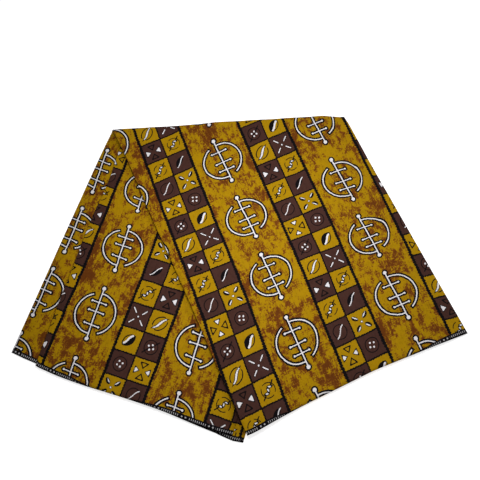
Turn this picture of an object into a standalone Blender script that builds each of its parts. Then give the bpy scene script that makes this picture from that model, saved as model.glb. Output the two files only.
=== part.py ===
"""A length of printed cotton, pleated lengthwise into a strip and folded over once on a slanting line.

Metres, +Z up. The strip is laid out flat first: s runs along it from one selvedge to the other and v runs
across it from its left edge. The slanting fold is the line where the strip turns over. The front tail has s
above that line and lies on top; the back tail has s below it.
"""

import math

import bmesh
import bpy
import numpy as np

THICK = 0.001           # cotton, thickened from about 0.3 mm to the thinnest sheet
PITCH = 0.0015          # from one layer to the next
INNER_GAP = 0.0004      # half the extra room inside the slanting fold
STRIP_WIDTH = 0.457     # half a yard
SLANT = math.radians(21.2)   # turn of the slanting fold away from square across the strip
MEAN_BEND = 0.004       # radius of the slanting fold that the columns are ruled by
SHORTEST = 0.022        # rows are ruled by a tail this much shorter than its place along the strip
HEM_BEND = 0.0025       # what the slanting fold takes up of every layer of the front tail, whose hems lie level
FLAP_STEP = (0.150, 0.200)   # layer 1 rises over the flap between these places across
PAST_STEP = (0.412, 0.446)   # and comes down again past the hidden right fold
DRAPE = (0.012, 0.100)  # the front tail comes down to the floor between these distances from the back tail
FOLD_DROP = 0.060       # over this distance it comes down from the slanting fold's right end

# Lengthwise folds and cut ends: place across the strip at s = 0, and its drift per metre along.
EDGES = {
    "left": (0.000, 0.0),
    "right": (0.4570, 0.0),
    "hidden_right": (0.3999, 0.0075),
    "inset_left": (0.0330, -0.0227),
    "flap_cut": (0.2620, 0.0467),
    "last_cut": (0.4340, -0.0134),
}

# Where the front and the back selvedge cross each of those edges, along the strip.
HEMS = {
    "left": (0.6745, -0.4940),
    "right": (0.6645, -0.5110),
    "hidden_right": (0.6660, -0.5005),
    "inset_left": (0.6700, -0.4950),
    "flap_cut": (0.6610, -0.5010),
    "last_cut": (0.6640, -0.4995),
}

# How far each visible fold edge wanders: place along in metres, millimetres across.
WANDER = {
    "left": [(-0.50, 0.0), (-0.26, -1.0), (-0.05, -1.0), (0.0, 0.5), (0.06, 5.5), (0.15, 6.5), (0.24, 6.8),
             (0.33, 10.5), (0.42, 11.8), (0.51, 12.9), (0.60, 14.0), (0.68, 16.0)],
    "inset_left": [(-0.50, 3.5), (-0.45, 1.5), (-0.36, -1.0), (-0.26, -0.5), (-0.17, -0.5), (-0.13, 4.0),
                   (-0.09, 3.0), (-0.04, -3.5), (0.10, 0.0), (0.68, 1.0)],
    "right": [(-0.50, 7.0), (-0.44, 4.5), (-0.30, 0.5), (-0.10, 0.0), (0.17, -3.0), (0.30, -0.5),
              (0.56, -0.5), (0.68, 0.5)],
}
# How much longer each tail is, here and there along its selvedge: place across in metres, millimetres.
FRONT_HEM = [(-0.01, -4.0), (0.03, -2.0), (0.07, -5.0), (0.12, -7.3), (0.20, -8.4), (0.27, -9.0), (0.33, -5.0),
             (0.40, -0.5), (0.47, 6.0)]
BACK_HEM = [(-0.01, -2.0), (0.05, 0.0), (0.10, 3.0), (0.15, 2.5), (0.20, -0.5), (0.25, -3.0), (0.30, -4.5),
            (0.36, -3.8), (0.42, -4.0), (0.47, -11.0)]

# Low swells of the whole stack: x, y, radius, share of the height.
SWELLS = [
    (0.020, -0.090, 0.110, 0.20),
    (0.130, -0.330, 0.130, 0.16),
    (0.330, -0.180, 0.160, 0.10),
    (0.500, -0.330, 0.150, 0.18),
    (0.420, -0.520, 0.120, 0.22),
    (0.620, -0.400, 0.110, 0.22),
    (0.240, -0.560, 0.120, 0.12),
    (-0.110, -0.430, 0.110, 0.26),
    (0.060, -0.520, 0.120, 0.22),
    (-0.020, -0.250, 0.100, 0.14),
]

# The section, from the cut end of the flap to the cut end of layer 4: layer, where it starts, where it ends,
# whether it runs to the right, and +1 where its printed face looks up in the front tail.
RUNS = [
    ("flap", "flap_cut", "right", True, -1.0),
    ("one", "right", "left", False, 1.0),
    ("two", "left", "hidden_right", True, -1.0),
    ("three", "hidden_right", "inset_left", False, 1.0),
    ("four", "inset_left", "last_cut", True, -1.0),
]
RUN = {run[0]: run for run in RUNS}

FLAT_NODES = [0.060, 0.105, 0.150, 0.200, 0.312, 0.350, 0.385, 0.412, 0.446]  # columns, across the strip
TURN_STEPS = 4          # facets of a lengthwise fold
BEND_STEPS = 8          # facets of the slanting fold
FRONT_ROWS = [0.03, 0.07, 0.13, 0.21, 0.30, 0.39, 0.48, 0.57, 0.66, 0.75, 0.83, 0.91, 0.975, 1.0]
BACK_ROWS = [0.04, 0.12, 0.22, 0.33, 0.44, 0.55, 0.66, 0.77, 0.88, 0.97, 1.0]


def ramp(x, low, high):
    """0 below low, 1 above high, smooth between."""
    k = np.clip((x - low) / (high - low), 0.0, 1.0)
    return k * k * (3.0 - 2.0 * k)


def smooth_curve(table):
    """Places and metres of a smoothed curve through a table of places and millimetres."""
    fine = np.linspace(table[0][0], table[-1][0], 241)
    curve = np.interp(fine, [row[0] for row in table], [row[1] / 1000.0 for row in table])
    for _ in range(60):
        curve[1:-1] = 0.25 * curve[:-2] + 0.5 * curve[1:-1] + 0.25 * curve[2:]
    return fine, curve


CURVES = {name: smooth_curve(table) for name, table in WANDER.items()}
HEM_CURVES = (smooth_curve(FRONT_HEM), smooth_curve(BACK_HEM))


def edge(name, s):
    """Place across of a fold or cut end, at s along."""
    place, drift = EDGES[name]
    across = place + drift * s
    if name in CURVES:
        across = across + np.interp(s, *CURVES[name])
    return across


def stack_height(v):
    """Height of the pleated stack: four layers, five over the flap, three beyond the hidden right fold."""
    return PITCH * (4.0 + np.clip((v - FLAP_STEP[0]) / (FLAP_STEP[1] - FLAP_STEP[0]), 0.0, 1.0)
                    - 2.0 * np.clip((v - PAST_STEP[0]) / (PAST_STEP[1] - PAST_STEP[0]), 0.0, 1.0))


def level(layer, v):
    """Middle of a layer above the inner side of the slanting fold."""
    if layer == "one":
        return stack_height(v) - 0.5 * PITCH
    if layer == "flap":
        return stack_height(v) - 1.5 * PITCH
    return {"two": 2.5, "three": 1.5, "four": 0.5}[layer] * PITCH + 0.0 * v


def selvedge(layer, v, front):
    """Place along the strip of a layer's selvedge, at v across."""
    start, end = RUN[layer][1:3]
    ends = []
    for which, sign in ((0, 1.0), (1, -1.0)):
        s_start = HEMS[start][which]
        s_end = HEMS[end][which]
        v_start = edge(start, s_start)
        v_end = edge(end, s_end)
        line = s_start + (s_end - s_start) * (v - v_start) / (v_end - v_start)
        ends.append(line + sign * np.interp(v, *HEM_CURVES[which]))
    return np.where(front, ends[0], ends[1])


def on_section(column, s, turn, shift, side):
    """A column's place in the section: middle and face, across and in height, and its place in plan."""
    kind, layer, after, where, beta = column
    half = 0.5 * THICK
    if kind != "turn":
        v = where + shift if kind == "flat" else edge(where, s)
        if kind == "beside":
            # this column lies over or under another layer's edge
            other = INNER_GAP + level(after, edge(where, s))
            v = v + shift - turn * (MEAN_BEND - other) * math.sin(SLANT)
        middle = level(layer, v - shift)
        return v, v, middle, middle + side * RUN[layer][4] * half, v - shift
    v_edge = edge(where, s)
    first = level(layer, v_edge - shift)
    second = level(after, v_edge - shift)
    centre = 0.5 * (first + second)
    radius = 0.5 * abs(first - second)
    outward = 1.0 if where in ("right", "hidden_right") else -1.0
    rise = np.sign(first - second)
    reach = radius + half * side * RUN[layer][4] * rise
    v_centre = v_edge - outward * (radius + half)
    v = v_centre + outward * radius * math.sin(beta)
    v_face = v_centre + outward * reach * math.sin(beta)
    return v, v_face, centre, centre + rise * reach * math.cos(beta), v - shift


def column_points(column, turn, share, side):
    """One column of the sheet's corners. side is +1 for its printed face and -1 for the other."""
    _, layer, after, _, beta = column
    tail = share > 0.0
    front = turn > 0.0
    s = np.zeros_like(turn)
    shift = np.zeros_like(turn)
    flat = np.zeros_like(turn)
    for _ in range(4):
        v, v_face, middle, q_face, v_plan = on_section(column, s, turn, shift, side)
        t = turn * (INNER_GAP + middle)
        shift = (turn * MEAN_BEND - t) * math.sin(SLANT)
        # from the slanting fold to the selvedge, square to the fold
        end = selvedge(layer if beta < 2.0 else after, v, front)
        own = abs(end * math.cos(SLANT) - v * math.sin(SLANT)) - np.where(front, HEM_BEND, abs(t))
        common = np.where(front, HEMS["flap_cut"][0], HEMS["left"][1])
        shared = share * (abs(common * math.cos(SLANT) - v_plan * math.sin(SLANT)) - SHORTEST)
        flat = np.where(tail, np.where(share < 1.0, shared, own), 0.0)
        t = t + np.where(front, flat, -flat)
        s = (v * math.sin(SLANT) + t) / math.cos(SLANT)
    x = v_face / math.cos(SLANT) + t * math.tan(SLANT)
    radius = INNER_GAP + q_face
    y = radius * np.cos(turn) - flat
    z = stack_height(v_plan) + INNER_GAP + radius * np.sin(turn)
    v_below = x * math.cos(SLANT) + (flat - 0.5 * math.pi * MEAN_BEND) * math.sin(SLANT)
    beside = 1.0 - ramp(v_below, STRIP_WIDTH + DRAPE[0], STRIP_WIDTH + DRAPE[1])
    near = 1.0 - ramp(flat, 0.0, FOLD_DROP)
    support = stack_height(np.minimum(v_below, PAST_STEP[0]))
    support += (stack_height(v_plan) - support) * (1.0 - ramp(flat, 0.0, 0.02))
    over = (support + 2.0 * INNER_GAP) * np.maximum(beside, near) + q_face
    z = np.where(tail & front, over, z)
    return np.stack([x, y, lifted(x, y, z)], axis=1)


def lifted(x, y, z):
    """The whole stack swells a little where air is caught in it; its underside stays flat."""
    swell = np.ones_like(x)
    for cx, cy, radius, share in SWELLS:
        swell = swell + share * np.exp(-((x - cx) ** 2 + (y - cy) ** 2) / radius ** 2)
    base = 0.5 * (PITCH - THICK)
    return base + (z - base) * swell


def section_columns():
    """The columns of the section: kind, layer, the other layer, node or edge name, and angle of a turn."""
    columns = []
    along = np.linspace(-0.52, 0.70, 41)
    for layer, start, end, rightward, _ in RUNS:
        low_name, high_name = (start, end) if rightward else (end, start)
        low = edge(low_name, along).max() + 0.008
        high = edge(high_name, along).min() - 0.008
        nodes = [("flat", layer, None, node, 0.0) for node in FLAT_NODES if low < node < high]
        if layer in ("one", "two"):
            nodes.insert(0, ("beside", layer, "three", "inset_left", 0.0))
        if layer != "flap":
            place = nodes.index(("flat", layer, None, 0.200, 0.0)) + 1
            nodes.insert(place, ("beside", layer, "flap", "flap_cut", 0.0))
        if layer in ("flap", "one", "four"):
            place = nodes.index(("flat", layer, None, 0.385, 0.0)) + 1
            nodes.insert(place, ("beside", layer, "two", "hidden_right", 0.0))
        if not rightward:
            nodes = nodes[::-1]
        if layer == RUNS[0][0]:
            columns.append(("along", layer, None, start, 0.0))
        columns += nodes
        if layer == RUNS[-1][0]:
            columns.append(("along", layer, None, end, 0.0))
        else:
            after = RUNS[[run[0] for run in RUNS].index(layer) + 1][0]
            columns += [("turn", layer, after, end, math.pi * step / TURN_STEPS)
                        for step in range(TURN_STEPS + 1)]
    return columns


def ruled_rows():
    """Angle round the slanting fold and share of the tail, for each row from back to front."""
    angles = [-0.5 * math.pi + math.pi * step / BEND_STEPS for step in range(BEND_STEPS + 1)]
    turn = [angles[0]] * len(BACK_ROWS) + angles + [angles[-1]] * len(FRONT_ROWS)
    share = BACK_ROWS[::-1] + [0.0] * len(angles) + FRONT_ROWS
    return np.array(turn), np.array(share)


def build():
    """The section's columns, and the corners of the printed face and of the other face."""
    columns = section_columns()
    turn, share = ruled_rows()
    faces = [np.stack([column_points(column, turn, share, side) for column in columns], axis=1)
             for side in (1.0, -1.0)]
    return columns, faces


def cloth_mesh(columns, faces):
    """One closed mesh of the two faces and the rim between them."""
    count_rows, count_columns = faces[0].shape[:2]
    everything = np.concatenate([face.reshape(-1, 3) for face in faces])
    low = everything.min(axis=0)
    high = everything.max(axis=0)
    everything -= np.array([(low[0] + high[0]) / 2, (low[1] + high[1]) / 2, low[2]])

    def index(row, column, side):
        return (side * count_rows + row) * count_columns + column

    triangles = []
    for side in (0, 1):
        for row in range(count_rows - 1):
            for column in range(count_columns - 1):
                a = index(row, column, side)
                b = index(row, column + 1, side)
                c = index(row + 1, column + 1, side)
                d = index(row + 1, column, side)
                # the same diagonal in plan in every layer, so that layers bend alike
                if RUN[columns[column + 1][1]][3]:
                    pair = [(a, b, c), (a, c, d)]
                else:
                    pair = [(a, b, d), (b, c, d)]
                triangles += pair if side == 0 else [t[::-1] for t in pair]
    rim = [(index(r, c, 0), index(r + 1, c, 0), index(r + 1, c, 1), index(r, c, 1))
           for r in range(count_rows - 1) for c in (0, count_columns - 1)]
    rim += [(index(r, c, 0), index(r, c + 1, 0), index(r, c + 1, 1), index(r, c, 1))
            for c in range(count_columns - 1) for r in (0, count_rows - 1)]
    for a, b, c, d in rim:
        triangles += [(a, b, c), (a, c, d)]
    mesh = bpy.data.meshes.new("cloth")
    mesh.from_pydata([tuple(p) for p in everything], [], triangles)
    work = bmesh.new()
    work.from_mesh(mesh)
    bmesh.ops.recalc_face_normals(work, faces=work.faces)
    work.to_mesh(mesh)
    work.free()
    return mesh


def main():
    for item in list(bpy.data.objects):
        bpy.data.objects.remove(item, do_unlink=True)
    holder = bpy.data.collections.new("printed_wrapper_cloth")
    bpy.context.scene.collection.children.link(holder)
    cloth = bpy.data.objects.new("cloth", cloth_mesh(*build()))
    holder.objects.link(cloth)
    cotton = bpy.data.materials.new("printed_cotton")
    cotton.use_nodes = True
    shader = cotton.node_tree.nodes["Principled BSDF"]
    shader.inputs["Base Color"].default_value = (0.38, 0.20, 0.03, 1.0)
    shader.inputs["Roughness"].default_value = 0.85
    cloth.data.materials.append(cotton)


main()
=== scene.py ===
"""Looks of a length of printed cotton, pleated lengthwise into a strip and folded over on a slanting line.

Metres, +Z up. The strip is worked out flat: s runs along it from one selvedge to the other, and v across it
from its left edge. The front tail has s above the slanting fold and lies on top. A place on the cloth itself
is told by "along", from the slanting fold's left end, and "length", from the cut end of the flap.
"""

import math

import bpy
import numpy as np
from bpy.props import FloatProperty, FloatVectorProperty, IntProperty, PointerProperty
from mathutils import Matrix, Vector


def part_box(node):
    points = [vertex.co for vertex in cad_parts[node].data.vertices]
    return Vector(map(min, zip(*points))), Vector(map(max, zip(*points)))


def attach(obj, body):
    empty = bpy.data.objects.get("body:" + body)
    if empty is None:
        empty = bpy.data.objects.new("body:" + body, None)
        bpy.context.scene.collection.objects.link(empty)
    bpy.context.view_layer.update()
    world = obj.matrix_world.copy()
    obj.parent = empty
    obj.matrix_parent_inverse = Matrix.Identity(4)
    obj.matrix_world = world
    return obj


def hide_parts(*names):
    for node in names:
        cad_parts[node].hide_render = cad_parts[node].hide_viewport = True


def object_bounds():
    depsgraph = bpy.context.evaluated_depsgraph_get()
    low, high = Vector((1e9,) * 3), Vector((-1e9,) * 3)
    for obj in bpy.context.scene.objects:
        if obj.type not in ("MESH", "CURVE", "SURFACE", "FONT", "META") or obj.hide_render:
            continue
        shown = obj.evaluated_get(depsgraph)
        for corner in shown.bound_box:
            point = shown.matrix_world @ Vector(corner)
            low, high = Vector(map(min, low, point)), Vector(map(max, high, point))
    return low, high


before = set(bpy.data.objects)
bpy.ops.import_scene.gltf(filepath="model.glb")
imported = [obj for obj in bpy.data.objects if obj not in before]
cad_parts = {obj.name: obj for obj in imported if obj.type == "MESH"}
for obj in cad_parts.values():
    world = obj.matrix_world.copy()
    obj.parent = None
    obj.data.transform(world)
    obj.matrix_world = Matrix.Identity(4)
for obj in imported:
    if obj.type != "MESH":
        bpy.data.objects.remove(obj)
CAD_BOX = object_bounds()

bl_info = {
    "name": "Printed wrapper cloth",
    "version": (1, 0, 0),
    "blender": (4, 5, 0),
    "location": "3D View > Sidebar > Wrapper",
    "description": "A folded length of printed cotton, its print and a plain studio",
    "category": "Object",
}

STRIP_WIDTH = 0.457     # half a yard
PITCH = 0.0015          # from one layer to the next
INNER_GAP = 0.0004      # half the extra room inside the slanting fold
SLANT = math.radians(21.2)
MEAN_BEND = 0.004       # radius of the slanting fold that the columns are ruled by
SHORTEST = 0.022        # the last shared row lies this far inside the shortest tail
HEM_BEND = 0.0025       # taken up by the slanting fold in every layer of the front tail, whose hems lie level
FLAP_STEP = (0.150, 0.200)   # across the strip, where four layers become five at the flap's cut end
PAST_STEP = (0.412, 0.446)   # and where two of them stop at the hidden right fold
DRAPE = (0.012, 0.100)       # the front tail sinks to the floor between these distances past the back one
FOLD_DROP = 0.060            # near the slanting fold it stays up, over this length
SUPPORT_SOFT = 0.020         # over this length past the fold it settles on what lies below it
CLEAR_OF_FOLD = 0.006        # the level columns of a layer keep this far from its folds
TAIL_LENGTHS = (0.50, 0.66)  # rows are spaced as if the back and the front tail were this long
BACK_LEAN = 0.0134           # the back tail's print leans this much, per metre across
PLAN_CENTRE = (0.2458, -0.3108)   # middle of the whole, from the slanting fold's left end

# Lengthwise folds and cut ends: place across the strip at s = 0, and its drift per metre along.
EDGES = {
    "left": (0.000, 0.0),
    "right": (0.4570, 0.0),
    "hidden_right": (0.3999, 0.0075),
    "inset_left": (0.0330, -0.0227),
    "flap_cut": (0.2620, 0.0467),
    "last_cut": (0.4340, -0.0134),
}

# Where the front and the back selvedge cross each of those edges, along the strip.
HEMS = {
    "left": (0.6745, -0.4940),
    "right": (0.6645, -0.5110),
    "hidden_right": (0.6660, -0.5005),
    "inset_left": (0.6700, -0.4950),
    "flap_cut": (0.6610, -0.5010),
    "last_cut": (0.6640, -0.4995),
}

# How far each visible fold edge wanders: place along in metres, millimetres across.
WANDER = {
    "left": [(-0.50, 0.0), (-0.26, -1.0), (-0.05, -1.0), (0.0, 0.5), (0.06, 5.5), (0.15, 6.5), (0.24, 6.8),
             (0.33, 10.5), (0.42, 11.8), (0.51, 12.9), (0.60, 14.0), (0.68, 16.0)],
    "inset_left": [(-0.50, 9.5), (-0.45, 7.5), (-0.36, 3.5), (-0.29, 2.5), (-0.23, 0.0), (-0.17, -0.5),
                   (-0.13, 4.0), (-0.09, 3.0), (-0.04, -3.5), (0.10, 0.0), (0.68, 1.0)],
    "right": [(-0.50, 7.0), (-0.44, 4.5), (-0.30, 0.5), (-0.10, 0.0), (0.03, -0.5), (0.17, -3.4),
              (0.25, -3.0), (0.34, -1.2), (0.56, -0.5), (0.68, 0.5)],
}
# How much longer each tail is, here and there along its selvedge: place across in metres, millimetres.
FRONT_HEM = [(-0.01, -4.0), (0.03, -2.0), (0.07, -5.0), (0.12, -7.3), (0.20, -8.4), (0.27, -9.0),
             (0.33, -5.0), (0.40, -0.5), (0.47, 6.0)]
BACK_HEM = [(-0.01, -2.0), (0.05, 0.0), (0.10, 3.0), (0.15, 2.5), (0.20, -0.5), (0.25, -3.0), (0.30, -4.5),
            (0.36, -3.8), (0.42, -4.0), (0.47, -11.0)]
# Width of selvedge that is rolled under and doesn't show: place across in metres, millimetres.
FRONT_ROLL = [(-0.01, 1.0), (0.07, 1.5), (0.11, 9.0), (0.17, 11.5), (0.25, 11.0), (0.34, 10.0), (0.38, 5.0),
              (0.41, 1.0), (0.47, 0.0)]
BACK_ROLL = [(-0.01, 1.0), (0.12, 1.5), (0.17, 9.5), (0.22, 11.0), (0.27, 6.0), (0.31, 2.0), (0.47, 1.0)]

# Low swells of the whole stack: x, y, radius, share of the height.
SWELLS = [
    (0.020, -0.090, 0.110, 0.20),
    (0.130, -0.330, 0.130, 0.16),
    (0.330, -0.180, 0.160, 0.10),
    (0.500, -0.330, 0.150, 0.18),
    (0.420, -0.520, 0.120, 0.22),
    (0.620, -0.400, 0.110, 0.22),
    (0.240, -0.560, 0.120, 0.12),
    (-0.110, -0.430, 0.110, 0.26),
    (0.060, -0.520, 0.120, 0.22),
    (-0.020, -0.250, 0.100, 0.14),
]
# Ripples over the stack: direction in degrees, wave length in metres, shift in turns, share of the height.
RIPPLES = [
    (14.0, 0.071, 0.10, 0.030),
    (67.0, 0.113, 0.45, 0.035),
    (-38.0, 0.053, 0.80, 0.020),
    (102.0, 0.037, 0.30, 0.012),
]

# Soft creases: from x, y to x, y, half width, share of the height; a trough is below 0. The first four
# follow lines or zones of the photograph, the last is a guess.
CREASES = [
    (0.300, -0.200, 0.430, -0.500, 0.013, 0.17),
    (0.205, -0.110, 0.285, -0.260, 0.016, 0.14),
    (0.476, -0.040, 0.500, -0.115, 0.010, -0.22),
    (-0.060, -0.300, -0.020, -0.460, 0.030, -0.16),
    (0.560, -0.240, 0.640, -0.400, 0.020, -0.16),
]

# The section, from the cut end of the flap to the cut end of layer 4: layer, where it starts, where it ends,
# whether it runs to the right, and +1 where its printed face looks up in the front tail.
RUNS = [
    ("flap", "flap_cut", "right", True, -1.0),
    ("one", "right", "left", False, 1.0),
    ("two", "left", "hidden_right", True, -1.0),
    ("three", "hidden_right", "inset_left", False, 1.0),
    ("four", "inset_left", "last_cut", True, -1.0),
]
RUN = {run[0]: run for run in RUNS}

# Length along the cloth in each layer: at v = 0 and s = 0, per metre across, per metre along the strip.
PRINT_PLACE = {
    "flap": (-0.2620, 1.0, -0.0467),
    "one": (0.6520, -1.0, -0.0467),
    "two": (0.6520, 1.0, -0.0467),
    "three": (1.4518, -1.0, -0.0317),
    "four": (1.3729, 1.0, 0.0134),
}
# The cloth was pulled a little out of true: place along, and the millimetres that the print strays there
# along, across, and along for each 100 mm of length.
FRONT_STRAY = [
    (-0.52, -4.0, -9.0, 0.0), (-0.41, -4.5, -12.0, -0.5), (-0.31, -4.9, -10.5, -0.9),
    (-0.26, -5.1, -13.5, -1.1), (-0.17, -5.5, -8.5, -1.5), (-0.12, -5.7, -7.5, -1.7),
    (-0.05, -6.0, 1.5, -2.0), (0.01, -7.2, -0.8, -2.0), (0.12, -9.0, -0.9, -2.0), (0.20, -11.0, -1.2, 0.5),
    (0.28, -12.0, -0.9, 2.9), (0.34, -7.5, 0.6, 3.4), (0.40, -3.9, 1.3, 3.3), (0.46, -1.9, 1.2, 1.6),
    (0.54, -0.6, -0.9, -2.0), (0.60, -3.4, -1.1, -2.9), (0.68, -6.0, -1.2, -3.5),
]
BACK_STRAY = [
    (-0.52, 1.5, 1.5, 0.0), (-0.42, 0.6, 1.2, 0.0), (-0.36, -1.6, 1.2, 0.0), (-0.30, -5.6, 0.0, 0.0),
    (-0.25, -8.0, -0.8, 0.0), (-0.18, -4.0, 1.4, 0.0), (-0.12, 2.0, 2.8, 0.0), (0.70, 5.0, 2.8, 0.0),
]
SKEW_CENTRES = (0.460, 1.600)   # lengths where the last of these is nothing, in the front and in the back
SKEW_ENDS = (0.20, 0.66)        # lengths beyond which it grows no more, in the front
# The band along the right fold strays on its own: place along, and millimetres along.
RIGHT_STRAY = [(-0.10, 0.0), (0.05, 12.0), (0.23, 14.0), (0.28, 16.0), (0.32, 21.0), (0.40, 19.0),
               (0.45, 9.0), (0.49, 2.5), (0.54, -3.0), (0.585, -5.0), (0.63, -2.5), (0.68, -1.0)]
RIGHT_BAND = (0.200, 0.224)     # lengths over which that dies away
# The print is drawn towards the right fold between these places across, and by this much at its edge.
EDGE_TUCK = (0.392, 0.450)
TUCK_DEPTH = 0.0028

# Where the rust stains lie thick: along, length, how far they reach both ways, and weight. The places were
# read off a map of the photograph's stains, and the rest was judged. A weight below 0 thins them out.
STAIN_BEDS = [
    (0.100, 0.607, 0.040, 0.035, 0.19),
    (0.180, 0.613, 0.035, 0.028, 0.14),
    (-0.310, 1.435, 0.050, 0.042, 0.19),
    (-0.235, 1.425, 0.038, 0.028, 0.14),
    (-0.225, 1.510, 0.048, 0.028, 0.12),
    (-0.410, 1.440, 0.030, 0.030, 0.13),
    (-0.470, 0.715, 0.035, 0.025, 0.14),
    (-0.455, 1.495, 0.032, 0.052, 0.12),
    (0.450, 0.605, 0.042, 0.028, 0.10),
    (0.530, 0.605, 0.048, 0.028, 0.15),
    (-0.437, 1.720, 0.032, 0.032, 0.13),
    (-0.456, 1.665, 0.028, 0.032, 0.09),
    (0.095, 0.478, 0.038, 0.032, 0.13),
    (0.185, 0.410, 0.042, 0.032, 0.10),
    (0.307, 0.400, 0.038, 0.032, 0.12),
    (0.432, 0.512, 0.032, 0.028, 0.12),
    (0.514, 0.475, 0.038, 0.036, 0.15),
    (0.637, 0.437, 0.032, 0.032, 0.09),
    (0.190, 0.310, 0.038, 0.028, 0.13),
    (0.383, 0.200, 0.034, 0.032, 0.11),
    (0.485, 0.240, 0.055, 0.032, 0.09),
    (0.617, 0.310, 0.038, 0.028, 0.12),
    (0.648, 0.200, 0.032, 0.032, 0.12),
    (0.267, 0.494, 0.055, 0.045, -0.08),
    (0.246, 0.280, 0.045, 0.035, -0.08),
    (0.454, 0.420, 0.055, 0.045, -0.08),
    (-0.170, 1.450, 0.035, 0.035, -0.08),
    (-0.390, 1.680, 0.040, 0.045, -0.08),
]

# Name, place and side of the square lamps.
LAMPS = [
    ("over", (0.04, 0.07, 0.57), 0.34),
    ("side", (1.30, 0.85, 1.15), 0.45),
]
FLOOR_REACH = 6.0
CAMERA_TARGET = (0.0148, 0.0590, 0.0)
CAMERA_DISTANCE = 1.1791
CAMERA_ELEVATION = 1.2415
CAMERA_TURN = -0.1119
CAMERA_ROLL = -0.1596
CAMERA_LENS = 45.0
CAMERA_SENSOR = 36.0


class WrapperSizes(bpy.types.PropertyGroup):
    thick: FloatProperty(name="Sheet", description="Thickness of the cotton", default=0.0007,
                         unit="LENGTH", precision=4)
    step: FloatProperty(name="Grid", description="Distance between the corners of the sheet",
                        default=0.0088, unit="LENGTH", precision=4)
    turn_steps: IntProperty(name="Fold facets", description="Facets round a lengthwise fold", default=6)
    bend_steps: IntProperty(name="Bend facets", description="Facets round the slanting fold", default=12)


class WrapperPrint(bpy.types.PropertyGroup):
    period: FloatProperty(name="Repeat", description="One wide band and one chequered band",
                          default=0.2060, unit="LENGTH", precision=4)
    wide_axis: FloatProperty(name="First axis", description="Middle of a wide band along the cloth's length",
                             default=0.0485, unit="LENGTH", precision=4)
    cell: FloatProperty(name="Cell", description="Side of a chequered cell", default=0.04454,
                        unit="LENGTH", precision=4)
    row_start: FloatProperty(name="Row start", description="Where a row of cells starts along the strip",
                             default=0.0594, unit="LENGTH", precision=4)
    half_drop: FloatProperty(name="Half drop", default=0.1436, unit="LENGTH", precision=4,
                             description="Rows of every other chequered band lie this much further")
    sign_start: FloatProperty(name="Sign start", description="Middle of a ringed sign along the strip",
                              default=0.1627, unit="LENGTH", precision=4)
    ring: FloatProperty(name="Ring", description="Radius of the broken ring", default=0.0382,
                        unit="LENGTH", precision=4)
    stroke: FloatProperty(name="Stroke", description="Half the width of a white line", default=0.0011,
                          unit="LENGTH", precision=4)
    outline: FloatProperty(name="Outline", description="Width of the black line round a white one",
                           default=0.0030, unit="LENGTH", precision=4)
    rope: FloatProperty(name="Rope", description="Half the width of the twisted line beside a band",
                        default=0.0029, unit="LENGTH", precision=4)
    band: FloatProperty(name="Selvedge", description="Width of the black band along a selvedge",
                        default=0.0100, unit="LENGTH", precision=4)
    mustard: FloatVectorProperty(name="Mustard", description="Ground of the print", subtype="COLOR", size=3,
                                 min=0.0, max=1.0, default=(0.385, 0.213, 0.0010))
    rust: FloatVectorProperty(name="Rust", description="Stains in the ground", subtype="COLOR", size=3,
                              min=0.0, max=1.0, default=(0.170, 0.044, 0.005))
    brown: FloatVectorProperty(name="Brown", description="Dark cells", subtype="COLOR", size=3,
                               min=0.0, max=1.0, default=(0.060, 0.024, 0.018))
    black: FloatVectorProperty(name="Black", description="Outlines and selvedge", subtype="COLOR", size=3,
                               min=0.0, max=1.0, default=(0.004, 0.003, 0.004))
    white: FloatVectorProperty(name="White", description="Undyed lines", subtype="COLOR", size=3,
                               min=0.0, max=1.0, default=(0.78, 0.75, 0.77))


class WrapperStage(bpy.types.PropertyGroup):
    floor: FloatVectorProperty(name="Floor", description="Colour of the floor", subtype="COLOR", size=3,
                               min=0.0, max=1.0, default=(0.90, 0.90, 0.91))
    glow: FloatProperty(name="Floor glow", description="Light that the floor itself gives", default=0.72)
    sky: FloatProperty(name="Fill", description="Strength of the light from all round", default=0.15)
    over: FloatProperty(name="Over", description="Power of the soft lamp over the cloth",
                        default=3.1, unit="POWER")
    side: FloatProperty(name="Side", description="Power of the lamp from the right",
                        default=10.2, unit="POWER")


def ramp(x, low, high):
    """0 below low, 1 above high, smooth between."""
    k = np.clip((x - low) / (high - low), 0.0, 1.0)
    return k * k * (3.0 - 2.0 * k)


def smooth_curve(table, points=241, rounds=60):
    """Places and metres of a smoothed curve through a table of places and millimetres."""
    fine = np.linspace(table[0][0], table[-1][0], points)
    curve = np.interp(fine, [row[0] for row in table], [row[1] / 1000.0 for row in table])
    for _ in range(rounds):
        curve[1:-1] = 0.25 * curve[:-2] + 0.5 * curve[1:-1] + 0.25 * curve[2:]
    return fine, curve


CURVES = {name: smooth_curve(table) for name, table in WANDER.items()}
HEM_CURVES = (smooth_curve(FRONT_HEM), smooth_curve(BACK_HEM))
ROLL_CURVES = (smooth_curve(FRONT_ROLL), smooth_curve(BACK_ROLL))
STRAY_CURVES = [tuple(smooth_curve([(row[0], row[mm]) for row in table]) for mm in (1, 2, 3))
                for table in (FRONT_STRAY, BACK_STRAY)]


RIGHT_CURVE = smooth_curve(RIGHT_STRAY)


def wander(name, s):
    """How far a fold edge strays across, at s along."""
    return np.interp(s, *CURVES[name]) if name in CURVES else 0.0 * s


def edge(name, s):
    """Place across of a fold or cut end, at s along."""
    place, drift = EDGES[name]
    return place + drift * s + wander(name, s)


def stack_height(v):
    """Height of the pleated stack: four layers, five over the flap, three beyond the hidden right fold."""
    return PITCH * (4.0 + np.clip((v - FLAP_STEP[0]) / (FLAP_STEP[1] - FLAP_STEP[0]), 0.0, 1.0)
                    - 2.0 * np.clip((v - PAST_STEP[0]) / (PAST_STEP[1] - PAST_STEP[0]), 0.0, 1.0))


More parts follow.
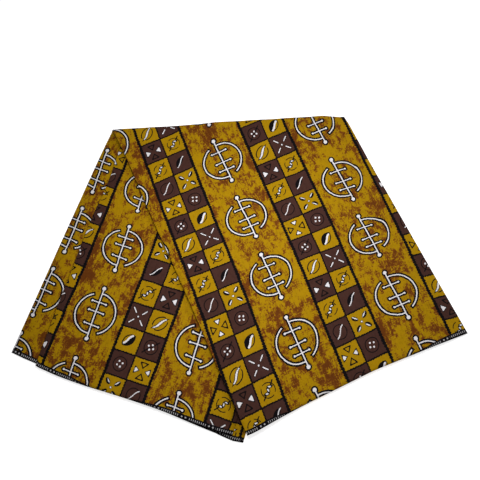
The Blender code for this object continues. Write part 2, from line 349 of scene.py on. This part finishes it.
def level(layer, v):
    """Middle of a layer above the inner side of the slanting fold."""
    if layer == "one":
        return stack_height(v) - 0.5 * PITCH
    if layer == "flap":
        return stack_height(v) - 1.5 * PITCH
    return {"two": 2.5, "three": 1.5, "four": 0.5}[layer] * PITCH + 0.0 * v


def selvedges(layer, v):
    """Places along the strip of a layer's front and back selvedges, at v across."""
    start, end = RUN[layer][1:3]
    ends = []
    for which, sign in ((0, 1.0), (1, -1.0)):
        s_start = HEMS[start][which]
        s_end = HEMS[end][which]
        v_start = edge(start, s_start)
        v_end = edge(end, s_end)
        line = s_start + (s_end - s_start) * (v - v_start) / (v_end - v_start)
        ends.append(line + sign * np.interp(v, *HEM_CURVES[which]))
    return ends


def print_place(layer, s, v):
    """Place on the flat cloth of a spot of the strip: along, and length from the flap's cut end."""
    start, per_across, per_along = PRINT_PLACE[layer]
    length = start + per_across * v + per_along * s
    front, back = [[np.interp(s, *curve) for curve in curves] for curves in STRAY_CURVES]
    share = {"flap": 0.0, "one": 0.0, "two": 0.0, "four": 1.0}.get(layer)
    if layer in ("flap", "one"):
        length = length + TUCK_DEPTH * ramp(v, *EDGE_TUCK)
    if layer == "flap":
        length = length - 2.0 * wander("right", s)
    if layer == "two":
        length = length - 2.0 * wander("left", s)
    if layer == "three":
        high = edge("hidden_right", s)
        low = edge("inset_left", s)
        share = np.clip((high - v) / (high - low), 0.0, 1.0)
        extra = PRINT_PLACE["four"][0] - (PRINT_PLACE["three"][0] - 2.0 * EDGES["inset_left"][0])
        length = length + (1.0 - share) * -2.0 * wander("left", s)
        length = length + share * (2.0 * wander("inset_left", s) + extra)
    skew = front[2] * (np.clip(length, *SKEW_ENDS) - SKEW_CENTRES[0]) / 0.1
    back_skew = back[2] * (length - SKEW_CENTRES[1]) / 0.1
    if layer in ("flap", "one"):
        skew = skew + np.interp(s, *RIGHT_CURVE) * (1.0 - ramp(length, *RIGHT_BAND))
    along = s + (1.0 - share) * (front[0] + skew) + share * (back[0] + back_skew - BACK_LEAN * v)
    return along, length + (1.0 - share) * front[1] + share * back[1]


def on_section(column, s, shift, side, thick):
    """A column's place in the section: middle and face, across and in height, and its place in plan."""
    kind, layer, after, where, beta = column
    half = 0.5 * thick
    if kind != "turn":
        v = where + shift if kind == "flat" else edge(where, s)
        middle = level(layer, v - shift)
        return v, v, middle, middle + side * RUN[layer][4] * half, v - shift
    v_edge = edge(where, s)
    first = level(layer, v_edge - shift)
    second = level(after, v_edge - shift)
    centre = 0.5 * (first + second)
    radius = 0.5 * abs(first - second)
    outward = 1.0 if where in ("right", "hidden_right") else -1.0
    rise = np.sign(first - second)
    reach = radius + half * side * RUN[layer][4] * rise
    v_centre = v_edge - outward * (radius + half)
    v = v_centre + outward * radius * math.sin(beta)
    v_face = v_centre + outward * reach * math.sin(beta)
    return v, v_face, centre, centre + rise * reach * math.cos(beta), v - shift


def column_points(column, turn, share, side, thick):
    """One column of the sheet's corners, and their places on the flat cloth.

    turn is the angle round the slanting fold, share tells how far along its tail a row lies, and side is +1
    for the printed face.
    """
    kind, layer, after, where, beta = column
    front = turn > 0.0
    tail = share > 0.0
    s = np.zeros_like(turn)
    shift = np.zeros_like(turn)
    flat = np.zeros_like(turn)
    for _ in range(5):
        v, v_face, middle, q_face, v_plan = on_section(column, s, shift, side, thick)
        t = turn * (INNER_GAP + middle)
        shift = (turn * MEAN_BEND - t) * math.sin(SLANT)
        # from the slanting fold to the selvedge, square to the fold
        end = np.where(front, *selvedges(layer if beta < 2.0 else after, v))
        own = abs(end * math.cos(SLANT) - v * math.sin(SLANT)) - np.where(front, HEM_BEND, abs(t))
        common = np.where(front, HEMS["flap_cut"][0], HEMS["left"][1])
        shared = abs(common * math.cos(SLANT) - v_plan * math.sin(SLANT)) - SHORTEST
        flat = np.where(share <= 1.0, share * shared, shared + (share - 1.0) * (own - shared))
        t = t + np.where(front, flat, -flat)
        s = (v * math.sin(SLANT) + t) / math.cos(SLANT)
    x = v_face / math.cos(SLANT) + t * math.tan(SLANT)
    radius = INNER_GAP + q_face
    y = radius * np.cos(turn) - flat
    z = stack_height(v_plan) + INNER_GAP + radius * np.sin(turn)
    v_below = x * math.cos(SLANT) + (flat - 0.5 * math.pi * MEAN_BEND) * math.sin(SLANT)
    beside = 1.0 - ramp(v_below, STRIP_WIDTH + DRAPE[0], STRIP_WIDTH + DRAPE[1])
    near = 1.0 - ramp(flat, 0.0, FOLD_DROP)
    support = stack_height(np.minimum(v_below, PAST_STEP[0]))
    support += (stack_height(v_plan) - support) * (1.0 - ramp(flat, 0.0, SUPPORT_SOFT))
    over = (support + 2.0 * INNER_GAP) * np.maximum(beside, near) + q_face
    z = np.where(tail & front, over, z)
    along, length = print_place(layer, s, v)
    rolled = np.where(front, *[np.interp(v, *curve) for curve in ROLL_CURVES])
    hem = (own - flat) / math.cos(SLANT) + rolled
    if kind == "turn":
        along_after, length_after = print_place(after, s, v)
        share_after = beta / math.pi
        along = along + share_after * (along_after - along)
        length = length + share_after * (length_after - length)
    return np.stack([x, y, lifted(x, y, z, thick)], axis=1), np.stack([along, length, hem], axis=1)


def lifted(x, y, z, thick):
    """The whole stack swells and ripples a little where air is caught in it; its underside stays flat."""
    swell = np.ones_like(x)
    for cx, cy, radius, share in SWELLS:
        swell = swell + share * np.exp(-((x - cx) ** 2 + (y - cy) ** 2) / radius ** 2)
    for degrees, wave, turns, share in RIPPLES:
        run = x * math.cos(math.radians(degrees)) + y * math.sin(math.radians(degrees))
        swell = swell + share * np.sin(2.0 * math.pi * (run / wave + turns))
    for x_from, y_from, x_to, y_to, width, share in CREASES:
        run_x, run_y = x_to - x_from, y_to - y_from
        place = ((x - x_from) * run_x + (y - y_from) * run_y) / (run_x ** 2 + run_y ** 2)
        place = np.clip(place, 0.0, 1.0)
        gap = np.hypot(x - x_from - place * run_x, y - y_from - place * run_y)
        swell = swell + share * np.exp(-(gap / width) ** 2)
    base = 0.5 * (PITCH - thick)
    return base + (z - base) * swell


def section_columns(step, turn_steps):
    """The columns of the section: kind, layer, the other layer, node or edge name, and angle of a turn."""
    columns = []
    along = np.linspace(-0.52, 0.70, 41)
    marks = [0.0] + list(FLAP_STEP + PAST_STEP) + [STRIP_WIDTH]
    nodes = []
    for low, high in zip(marks[:-1], marks[1:]):
        count = max(2, round((high - low) / step))
        nodes += [low + (high - low) * place / count for place in range(count)]
    for layer, start, end, rightward, _ in RUNS:
        low_name, high_name = (start, end) if rightward else (end, start)
        low = edge(low_name, along).max() + CLEAR_OF_FOLD
        high = edge(high_name, along).min() - CLEAR_OF_FOLD
        own = [("flat", layer, None, node, 0.0) for node in nodes if low < node < high]
        if not rightward:
            own = own[::-1]
        if layer == RUNS[0][0]:
            columns.append(("along", layer, None, start, 0.0))
        columns += own
        if layer == RUNS[-1][0]:
            columns.append(("along", layer, None, end, 0.0))
        else:
            after = RUNS[[run[0] for run in RUNS].index(layer) + 1][0]
            columns += [("turn", layer, after, end, math.pi * place / turn_steps)
                        for place in range(turn_steps + 1)]
    return columns


def ruled_rows(step, bend_steps):
    """Angle round the slanting fold and share of the tail, for each row from back to front."""
    angles = [-0.5 * math.pi + math.pi * place / bend_steps for place in range(bend_steps + 1)]
    tails = []
    for length in TAIL_LENGTHS:
        count = round(length / step)
        tails.append([0.25 / count, 0.6 / count] + [place / count for place in range(1, count + 1)]
                     + [1.25, 1.5, 1.75, 2.0])
    turn = [angles[0]] * len(tails[0]) + angles + [angles[-1]] * len(tails[1])
    share = tails[0][::-1] + [0.0] * len(angles) + tails[1]
    return np.array(turn), np.array(share)


def sheet_mesh(sizes):
    """One closed mesh of the printed face, the other face and the rim between them."""
    columns = section_columns(sizes.step, sizes.turn_steps)
    turn, share = ruled_rows(sizes.step, sizes.bend_steps)
    count_rows = len(turn)
    count_columns = len(columns)
    corners = []
    places = []
    for side in (1.0, -1.0):
        made = [column_points(column, turn, share, side, sizes.thick) for column in columns]
        corners.append(np.stack([m[0] for m in made], axis=1).reshape(-1, 3))
        places.append(np.stack([m[1] for m in made], axis=1).reshape(-1, 3))
    reverse = np.repeat([0.0, 1.0], count_rows * count_columns)
    corners = np.concatenate(corners)
    places = np.concatenate(places)
    grid = np.arange(count_rows * count_columns).reshape(count_rows, count_columns)
    a, b, c, d = grid[:-1, :-1], grid[:-1, 1:], grid[1:, 1:], grid[1:, :-1]
    rightward = np.array([RUN[column[1]][3] for column in columns[1:]])[None, :] & (a >= 0)
    # the same diagonal in plan in every layer, so that layers bend alike
    first = np.where(rightward[..., None], np.stack([a, b, c], -1), np.stack([a, b, d], -1))
    second = np.where(rightward[..., None], np.stack([a, c, d], -1), np.stack([b, c, d], -1))
    printed = np.concatenate([first.reshape(-1, 3), second.reshape(-1, 3)])
    other = printed[:, ::-1] + grid.size
    border = [grid[0, :], grid[:, -1], grid[-1, ::-1], grid[::-1, 0]]
    rim = []
    for line in border:
        p, q = line[:-1], line[1:]
        rim += [np.stack([p, p + grid.size, q + grid.size], -1), np.stack([p, q + grid.size, q], -1)]
    triangles = np.concatenate([printed, other] + rim)
    mesh = bpy.data.meshes.new("cloth_sheet")
    mesh.from_pydata([tuple(p) for p in corners], [], [tuple(int(i) for i in t) for t in triangles])
    smooth = np.ones(len(triangles), bool)
    smooth[len(printed) + len(other):] = False
    mesh.polygons.foreach_set("use_smooth", smooth)
    flat_map = mesh.uv_layers.new(name="flat")
    loops = np.empty(len(mesh.loops), np.int32)
    mesh.loops.foreach_get("vertex_index", loops)
    flat_map.data.foreach_set("uv", places[loops, :2].astype(np.float32).ravel())
    for name, values in (("hem", places[:, 2]), ("reverse", reverse)):
        layer = mesh.attributes.new(name, "FLOAT", "POINT")
        layer.data.foreach_set("value", values.astype(np.float32))
    return mesh


def put_in_frame(mesh):
    """Moves the sheet from the slanting fold's own axes to the row frame, on the floor."""
    low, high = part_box("cloth")
    points = np.empty(3 * len(mesh.vertices))
    mesh.vertices.foreach_get("co", points)
    points = points.reshape(-1, 3)
    for axis in (0, 1):
        points[:, axis] += 0.5 * (low[axis] + high[axis]) - PLAN_CENTRE[axis]
    points[:, 2] += low[2] - points[:, 2].min()
    mesh.vertices.foreach_set("co", points.ravel())
    mesh.update()


class Signal:
    """A number that a material works out at each spot. Sums, products and the calls below add Math nodes."""

    def __init__(self, tree, socket):
        self.tree = tree
        self.socket = socket

    def do(self, operation, *others, clamp=False):
        node = self.tree.nodes.new("ShaderNodeMath")
        node.operation = operation
        node.use_clamp = clamp
        for place, value in enumerate((self,) + others):
            if isinstance(value, Signal):
                self.tree.links.new(value.socket, node.inputs[place])
            else:
                node.inputs[place].default_value = value
        return Signal(self.tree, node.outputs[0])

    def __add__(self, other):
        return self.do("ADD", other)

    def __sub__(self, other):
        return self.do("SUBTRACT", other)

    def __mul__(self, other):
        return self.do("MULTIPLY", other)

    def __truediv__(self, other):
        return self.do("DIVIDE", other)

    def __neg__(self):
        return self.do("MULTIPLY", -1.0)

    def __abs__(self):
        return self.do("ABSOLUTE")

    def least(self, *others):
        found = self
        for other in others:
            found = found.do("MINIMUM", other)
        return found

    def most(self, *others):
        found = self
        for other in others:
            found = found.do("MAXIMUM", other)
        return found

    def wrapped(self, low, high):
        return self.do("WRAP", high, low)

    def inside(self, soft=0.0005):
        """1 where this distance is below 0 and 0 where it is above, over a soft edge."""
        return self.do("MULTIPLY_ADD", -1.0 / soft, 0.5, clamp=True)


def far(x, y):
    """Distance of (x, y) from the middle."""
    return (x * x + y * y).do("SQRT")


def disc(x, y, radius):
    return far(x, y) - radius


def oval(x, y, half_x, half_y):
    return (far(x * (1.0 / half_x), y * (1.0 / half_y)) - 1.0) * min(half_x, half_y)


def bar(x, y, half, thick):
    """A line along x with round ends."""
    return far((abs(x) - half).most(0.0), y) - thick


def leaf(x, y, half, fat):
    """A pointed oval along x."""
    radius = (half * half + fat * fat) / (2.0 * fat)
    return far(x, abs(y) + (radius - fat)) - radius


def wedge(x, y, out, inner, half):
    """A rounded triangle with its point towards the middle, on the side where x is above 0."""
    slope = half / (out - inner)
    side = (abs(y) - (x - inner) * slope) * (1.0 / math.hypot(1.0, slope))
    return side.do("SMOOTH_MAX", x - out, 0.09)


class Dyes:
    """Layers colours over one another in a material."""

    def __init__(self, tree, colour):
        self.tree = tree
        node = tree.nodes.new("ShaderNodeRGB")
        node.outputs[0].default_value = (*colour, 1.0)
        self.socket = node.outputs[0]

    def over(self, colour, share):
        node = self.tree.nodes.new("ShaderNodeMix")
        node.data_type = "RGBA"
        self.tree.links.new(share.socket, node.inputs[0])
        self.tree.links.new(self.socket, node.inputs[6])
        if isinstance(colour, Dyes):
            self.tree.links.new(colour.socket, node.inputs[7])
        else:
            node.inputs[7].default_value = (*colour, 1.0)
        self.socket = node.outputs[2]
        return self


def attribute(tree, name):
    node = tree.nodes.new("ShaderNodeAttribute")
    node.attribute_name = name
    return Signal(tree, node.outputs["Fac"])


def noise(tree, along, length, sizes, detail=3.0, rough=0.55, offset=0.0):
    """Noise with grains of the given sizes along the strip and along the cloth's length."""
    join = tree.nodes.new("ShaderNodeCombineXYZ")
    tree.links.new((along * (1.0 / sizes[0]) + offset).socket, join.inputs[0])
    tree.links.new((length * (1.0 / sizes[1]) - offset).socket, join.inputs[1])
    node = tree.nodes.new("ShaderNodeTexNoise")
    node.noise_dimensions = "2D"
    node.inputs["Scale"].default_value = 1.0
    node.inputs["Detail"].default_value = detail
    node.inputs["Roughness"].default_value = rough
    tree.links.new(join.outputs[0], node.inputs["Vector"])
    return Signal(tree, node.outputs["Fac"])


def ringed_sign(x, y, sizes):
    """Distance to the white lines of the ringed sign: a spine with ball ends, three bars, two open arcs."""
    reach = 0.0475
    gap = math.radians(25.0)
    lean = math.radians(3.0)
    x, y = x * math.cos(lean) - y * math.sin(lean), x * math.sin(lean) + y * math.cos(lean)
    turn = x.do("SIGN")
    right = abs(x)
    down = y * turn
    ring = abs(oval(x, y, sizes.ring + 0.0008, sizes.ring - 0.0010)) - sizes.stroke
    arcs = ring.most(down * math.sin(gap) - right * math.cos(gap))
    spine = bar(y, x, reach, sizes.stroke)
    balls = disc(x, abs(y) - reach, 0.0036)
    lines = arcs.least(spine, balls)
    for place, half, tilt in ((-0.0207, 0.0145, -0.12), (0.0037, 0.0150, -0.08), (0.0213, 0.0145, -0.09)):
        off = y - place + x * tilt
        lines = lines.least(bar(x, off, half, sizes.stroke * 0.85), disc(abs(x) - half, off, 0.0019))
    return lines


def small_signs(x, y, other):
    """White and black distances of the twelve small signs, by column and row. x and y are in cells.

    other is 1 in every other repeat, where one cell has its white wedges at its sides.
    """
    # a diagonal frame: d runs up to the right, e across it
    d = (x - y) * math.sqrt(0.5)
    e = (x + y) * math.sqrt(0.5)
    # a frame turned a little against the cell: g and h
    lean = math.radians(18.0)
    g = x * math.cos(lean) + y * math.sin(lean)
    h = y * math.cos(lean) - x * math.sin(lean)
    curl = e + (d * 9.0).do("SINE") * 0.030
    zigzag = e + (d * 20.0).do("SINE") * 0.042
    beads = disc(d.wrapped(-0.07, 0.07), zigzag, 0.041).most(abs(d) - 0.20)
    pin = bar(d, e, 0.40, 0.026)
    ring = abs(disc(x, y, 0.285)) - 0.018
    broken_ring = ring.most(-abs(abs(d) - abs(e)) + 0.09)
    four_dots = disc(abs(g) - 0.082, abs(h) - 0.082, 0.039)
    turned_dots = disc(abs(g) - 0.115, h, 0.039).least(disc(g, abs(h) - 0.115, 0.039))
    side_wedges = wedge(abs(x), y, 0.345, 0.12, 0.165)
    end_wedges = wedge(abs(y), x, 0.345, 0.12, 0.165)
    either = side_wedges * other - end_wedges * (other - 1.0)
    outlined = end_wedges * other - side_wedges * (other - 1.0)
    stroke = leaf(d, curl, 0.34, 0.042).least(disc(abs(d) - 0.28, curl, 0.030))
    thin_stroke = bar(d, curl, 0.29, 0.020)
    out_x = abs(x) - 0.22
    out_y = abs(y) - 0.22
    out_d = (out_x + out_y) * math.sqrt(0.5)
    out_e = (out_x - out_y) * math.sqrt(0.5)
    petals = oval(out_d, out_e, 0.150, 0.088)
    middle_dot = disc(x, y, 0.036)
    cross = bar(out_d, out_e, 0.110, 0.022).least(middle_dot)
    cowrie = leaf(d, e, 0.31, 0.19)

    def rim(shape, width=0.023):
        return abs(shape) - width

    # pairs of white and black, by row: first the column on the side of greater length
    larger = [
        (side_wedges + 0.010, rim(end_wedges).least(side_wedges - 0.018)),
        (beads, broken_ring.least(beads - 0.042, pin)),
        (thin_stroke, ring),
        (either + 0.024, rim(outlined).least(either - 0.010)),
        (turned_dots, ring.least(pin)),
        (stroke, rim(leaf(d, e, 0.37, 0.25)).most(abs(d) - 0.31).least(stroke - 0.030)),
    ]
    smaller = [
        (beads, ring.most(-abs(d) + 0.06).least(beads - 0.042, pin)),
        (thin_stroke, leaf(d, e + 0.05, 0.29, 0.13)),
        (oval(out_d, out_e + 0.028, 0.108, 0.024).least(middle_dot), petals.least(middle_dot - 0.020)),
        (four_dots, ring),
        (bar(d, curl - 0.035, 0.23, 0.042), rim(cowrie).least(cowrie.most(curl - 0.035))),
        (cross, cross - 0.022),
    ]
    return larger, smaller


def chosen(pairs, row, start):
    """The distance that belongs to this row, from six; start is 0 for the white ones and 1 for the black."""
    found = None
    for place, pair in enumerate(pairs):
        here = row.do("COMPARE", float(place), 0.4) * pair[start]
        found = here if found is None else found + here
    return found


def stains(tree, along, length):
    """How strongly the ground is stained: broad clouds, broken up by streaks both ways, and the beds."""
    cloud = noise(tree, along, length, (0.050, 0.036), 1.0, 0.5, 0.4)
    blots = noise(tree, along, length, (0.0200, 0.0130), 4.0, 0.66, 7.1)
    streaks = noise(tree, along, length, (0.0100, 0.0016), 1.0, 0.60, 5.2)
    hatching = noise(tree, along, length, (0.0016, 0.0090), 1.0, 0.60, 15.2)
    stain = cloud * 0.40 + blots * 1.15 + streaks * 0.45 + hatching * 0.45
    for bed_along, bed_length, reach_along, reach_length, weight in STAIN_BEDS:
        off = far((along - bed_along) * (1.0 / reach_along), (length - bed_length) * (1.0 / reach_length))
        stain = stain + (-off + 1.25).do("MINIMUM", 1.0).most(0.0) * weight
    return stain


def selvedge_marks(length, hem, sizes):
    """Distance to groups of plain upright dashes and the diamonds between them, along the selvedge."""
    group_pitch = 0.052
    dash_pitch = 0.0038
    group = (length * (1.0 / group_pitch)).do("FRACT") - 0.5
    beat = ((length * (1.0 / dash_pitch)).do("FRACT") - 0.5) * dash_pitch
    rise = hem - sizes.band * 0.55
    dashes = bar(rise, beat, 0.0013, 0.0006).most((abs(group) - 0.33) * group_pitch)
    diamond = abs((abs(group) - 0.43) * group_pitch) + abs(rise) - 0.0019
    return dashes.least(diamond)


def cotton_relief(tree, along, length):
    """Height of the weave, its thicker threads and the fine crumple, for the bump."""
    thread = 2.0 * math.pi / 0.0008
    weave = (along * thread).do("SINE") * (length * thread).do("SINE")
    slub = noise(tree, along, length, (0.030, 0.0011), 2.0, 0.6, 2.0)
    weft = noise(tree, along, length, (0.0011, 0.030), 2.0, 0.6, 8.0)
    crumple = noise(tree, along, length, (0.022, 0.018), 3.0, 0.55, 31.0)
    return weave * 0.00003 + slub * 0.00009 + weft * 0.00009 + crumple * 0.0011


def cotton(sizes):
    """The printed cotton's material."""
    material = bpy.data.materials.new("printed_cotton_look")
    material.use_nodes = True
    tree = material.node_tree
    shader = tree.nodes["Principled BSDF"]
    source = tree.nodes.new("ShaderNodeUVMap")
    source.uv_map = "flat"
    split = tree.nodes.new("ShaderNodeSeparateXYZ")
    tree.links.new(source.outputs[0], split.inputs[0])
    along = Signal(tree, split.outputs[0])
    length = Signal(tree, split.outputs[1])
    hem = attribute(tree, "hem")
    reverse = attribute(tree, "reverse")

    # the printing block's hand: lines stray by about half a millimetre
    stray_a = noise(tree, along, length, (0.030, 0.030), 1.0, 0.5, 3.7) - 0.5
    stray_l = noise(tree, along, length, (0.030, 0.030), 1.0, 0.5, 11.3) - 0.5
    a = along + stray_a * 0.0022
    w = length + stray_l * 0.0022
    lumps = noise(tree, along, length, (0.0046, 0.0046), 1.0, 0.5, 27.0) - 0.5
    twist = ((along + length) * (2.0 * math.pi / 0.0054)).do("SINE") * 0.6 + lumps * 2.2
    twist_back = ((along - length) * (2.0 * math.pi / 0.0054)).do("SINE") * 0.6 + lumps * 2.2

    # place in the repeat: u is 0 on the axis of a wide band
    half_wide = 0.5 * (sizes.period - 2.0 * sizes.cell)
    turns = (w - sizes.wide_axis) / sizes.period
    u = turns.wrapped(-0.5, 0.5) * sizes.period
    from_chequer = (turns - 0.5).wrapped(-0.5, 0.5) * sizes.period
    band_number = turns.do("FLOOR").do("FLOORED_MODULO", 2.0)
    wide = (abs(u) - half_wide).inside()

    # cells
    row_place = (a - sizes.row_start - band_number * sizes.half_drop) / sizes.cell
    row = row_place.do("FLOORED_MODULO", 6.0).do("FLOOR")
    y = row_place.do("FRACT") - 0.5
    left_column = from_chequer.do("GREATER_THAN", 0.0)
    x = -((from_chequer * (1.0 / sizes.cell)).do("FRACT") - 0.5)
    dark = (row + left_column).do("FLOORED_MODULO", 2.0)
    other = ((row_place / 6.0).do("FLOOR") + band_number + 1.0).do("FLOORED_MODULO", 2.0)
    larger, smaller = small_signs(x, y, other)
    both = []
    for start in (0, 1):
        far_side = chosen(larger, row, start)
        near_side = chosen(smaller, row, start)
        both.append((near_side + (far_side - near_side) * left_column) * sizes.cell)
    cell_white, cell_black = both
    cell_white = cell_white + twist * 0.00025

    # lines between the cells, and the ropes along the bands
    between_rows = (-abs(y) + 0.5) * sizes.cell - sizes.rope * 0.50 + twist_back * 0.0006
    between_columns = abs(from_chequer) - sizes.rope * 0.50 + twist * 0.0006
    ropes = abs(abs(u) - half_wide) - sizes.rope + twist * 0.0010

    # the ringed sign of a wide band
    sign_pitch = 3.0 * sizes.cell
    sign_y = ((a - sizes.sign_start) / sign_pitch + 0.5).do("FRACT") * sign_pitch - 0.5 * sign_pitch
    sign = ringed_sign(-u, sign_y, sizes)

    stain = stains(tree, along, length)
    tone = noise(tree, along, length, (0.012, 0.006), 4.0, 0.68, 19.0)

    def above(value, limit, gain):
        return ((value - limit) * gain).do("MULTIPLY", 1.0, clamp=True)

    ground = Dyes(tree, sizes.mustard)
    ground.over([c * 0.66 for c in sizes.mustard], above(tone, 0.48, 2.4))
    ground.over(sizes.rust, above(stain, 1.217, 9.0) * 0.94)
    ground.over([c * 0.60 for c in sizes.rust], above(stain, 1.340, 8.0) * 0.75)
    cells = Dyes(tree, sizes.mustard)
    cells.over([c * 0.72 for c in sizes.mustard], above(tone, 0.48, 2.0))
    browns = Dyes(tree, sizes.brown)
    browns.over([c * 0.70 for c in sizes.brown], above(tone, 0.45, 2.4))
    cells.over(browns, dark)
    cells.over(sizes.black, cell_black.inside())
    cells.over(sizes.white, cell_white.inside())
    cells.over(sizes.black, between_rows.least(between_columns).inside())
    ground.over(sizes.black, (sign - sizes.outline + twist * 0.0003).inside())
    ground.over(sizes.white, (sign + twist * 0.0002).inside())
    cells.over(ground, wide)
    cells.over(sizes.black, ropes.inside())
    cells.over(sizes.black, (hem - sizes.band + twist * 0.0003).inside())
    cells.over([0.62 * c for c in sizes.white], selvedge_marks(length, hem, sizes).inside())

    # the other face takes the dye a little weaker
    pale = tree.nodes.new("ShaderNodeHueSaturation")
    pale.inputs["Saturation"].default_value = 0.80
    pale.inputs["Value"].default_value = 0.86
    tree.links.new(cells.socket, pale.inputs["Color"])
    tree.links.new(reverse.socket, pale.inputs["Fac"])

    bump = tree.nodes.new("ShaderNodeBump")
    bump.inputs["Strength"].default_value = 0.55
    bump.inputs["Distance"].default_value = 1.0
    tree.links.new(cotton_relief(tree, along, length).socket, bump.inputs["Height"])
    tree.links.new(bump.outputs[0], shader.inputs["Normal"])
    tree.links.new(pale.outputs[0], shader.inputs["Base Color"])
    tree.links.new((tone * 0.16 + 0.70).socket, shader.inputs["Roughness"])
    shader.inputs["Specular IOR Level"].default_value = 0.06
    shader.inputs["Sheen Weight"].default_value = 0.02
    shader.inputs["Sheen Roughness"].default_value = 0.5
    shader.inputs["Sheen Tint"].default_value = (1.0, 0.72, 0.30, 1.0)
    return material


class WRAPPER_OT_cloth(bpy.types.Operator):
    """Lays the folded cloth: pleated lengthwise in four, with a flap, and turned over on a slanting line"""
    bl_idname = "wrapper.cloth"
    bl_label = "Folded cloth"

    def execute(self, context):
        mesh = sheet_mesh(context.scene.wrapper_sizes)
        put_in_frame(mesh)
        cloth = bpy.data.objects.new("printed_cloth", mesh)
        context.scene.collection.objects.link(cloth)
        mesh.materials.append(cotton(context.scene.wrapper_print))
        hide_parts("cloth")
        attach(cloth, "root")
        return {"FINISHED"}


class WRAPPER_OT_stage(bpy.types.Operator):
    """Sets up the pale floor, the soft lamps and the camera"""
    bl_idname = "wrapper.stage"
    bl_label = "Floor, lamps and camera"

    def execute(self, context):
        scene = context.scene
        stage = scene.wrapper_stage
        mesh = bpy.data.meshes.new("floor")
        z = CAD_BOX[0][2] - 0.0002
        corners = [(FLOOR_REACH * x, FLOOR_REACH * y, z) for x, y in ((-1, -1), (1, -1), (1, 1), (-1, 1))]
        mesh.from_pydata(corners, [], [(0, 1, 2, 3)])
        floor = bpy.data.objects.new("floor", mesh)
        scene.collection.objects.link(floor)
        material = bpy.data.materials.new("pale_floor")
        material.use_nodes = True
        shader = material.node_tree.nodes["Principled BSDF"]
        shader.inputs["Base Color"].default_value = (*stage.floor, 1.0)
        shader.inputs["Roughness"].default_value = 0.9
        shader.inputs["Emission Color"].default_value = (1.0, 1.0, 1.0, 1.0)
        shader.inputs["Emission Strength"].default_value = stage.glow
        mesh.materials.append(material)

        world = bpy.data.worlds.new("soft_sky")
        world.use_nodes = True
        sky = world.node_tree.nodes["Background"]
        sky.inputs["Color"].default_value = (1.0, 1.0, 1.0, 1.0)
        sky.inputs["Strength"].default_value = stage.sky
        scene.world = world
        scene.view_settings.view_transform = "Standard"
        for (name, place, size), power in zip(LAMPS, (stage.over, stage.side)):
            data = bpy.data.lights.new(name, "AREA")
            data.shape = "SQUARE"
            data.size = size
            data.energy = power
            lamp = bpy.data.objects.new(name, data)
            facing = Vector(place).to_track_quat("Z", "Y").to_matrix().to_4x4()
            lamp.matrix_world = Matrix.Translation(place) @ facing
            scene.collection.objects.link(lamp)

        ahead = Vector((math.sin(CAMERA_TURN) * math.cos(CAMERA_ELEVATION),
                        math.cos(CAMERA_TURN) * math.cos(CAMERA_ELEVATION), -math.sin(CAMERA_ELEVATION)))
        right = Vector((math.cos(CAMERA_TURN), -math.sin(CAMERA_TURN), 0.0))
        up = right.cross(ahead)
        eye = Vector(CAMERA_TARGET) - ahead * CAMERA_DISTANCE
        x_axis = math.cos(CAMERA_ROLL) * right + math.sin(CAMERA_ROLL) * up
        y_axis = -math.sin(CAMERA_ROLL) * right + math.cos(CAMERA_ROLL) * up
        pose = Matrix((x_axis, y_axis, -ahead)).transposed().to_4x4()
        data = bpy.data.cameras.new("camera")
        data.lens = CAMERA_LENS
        data.sensor_width = CAMERA_SENSOR
        data.clip_start = 0.05
        camera = bpy.data.objects.new("camera", data)
        camera.matrix_world = Matrix.Translation(eye) @ pose
        scene.collection.objects.link(camera)
        scene.camera = camera
        return {"FINISHED"}


class WRAPPER_PT_panel(bpy.types.Panel):
    """Lists the steps and their settings"""
    bl_idname = "WRAPPER_PT_panel"
    bl_label = "Printed wrapper cloth"
    bl_space_type = "VIEW_3D"
    bl_region_type = "UI"
    bl_category = "Wrapper"

    def draw(self, context):
        for group in (context.scene.wrapper_sizes, context.scene.wrapper_print, context.scene.wrapper_stage):
            box = self.layout.box()
            for name in group.bl_rna.properties.keys():
                if name not in ("rna_type", "name"):
                    box.prop(group, name)
        for step in STEPS:
            self.layout.operator(step.bl_idname)


STEPS = (WRAPPER_OT_stage, WRAPPER_OT_cloth)
CLASSES = (WrapperSizes, WrapperPrint, WrapperStage) + STEPS + (WRAPPER_PT_panel,)


def register():
    for item in CLASSES:
        bpy.utils.register_class(item)
    bpy.types.Scene.wrapper_sizes = PointerProperty(type=WrapperSizes)
    bpy.types.Scene.wrapper_print = PointerProperty(type=WrapperPrint)
    bpy.types.Scene.wrapper_stage = PointerProperty(type=WrapperStage)


def unregister():
    del bpy.types.Scene.wrapper_stage
    del bpy.types.Scene.wrapper_print
    del bpy.types.Scene.wrapper_sizes
    for item in reversed(CLASSES):
        bpy.utils.unregister_class(item)


def main():
    register()
    bpy.ops.wrapper.stage()
    bpy.ops.wrapper.cloth()


if __name__ == "__main__":
    main()
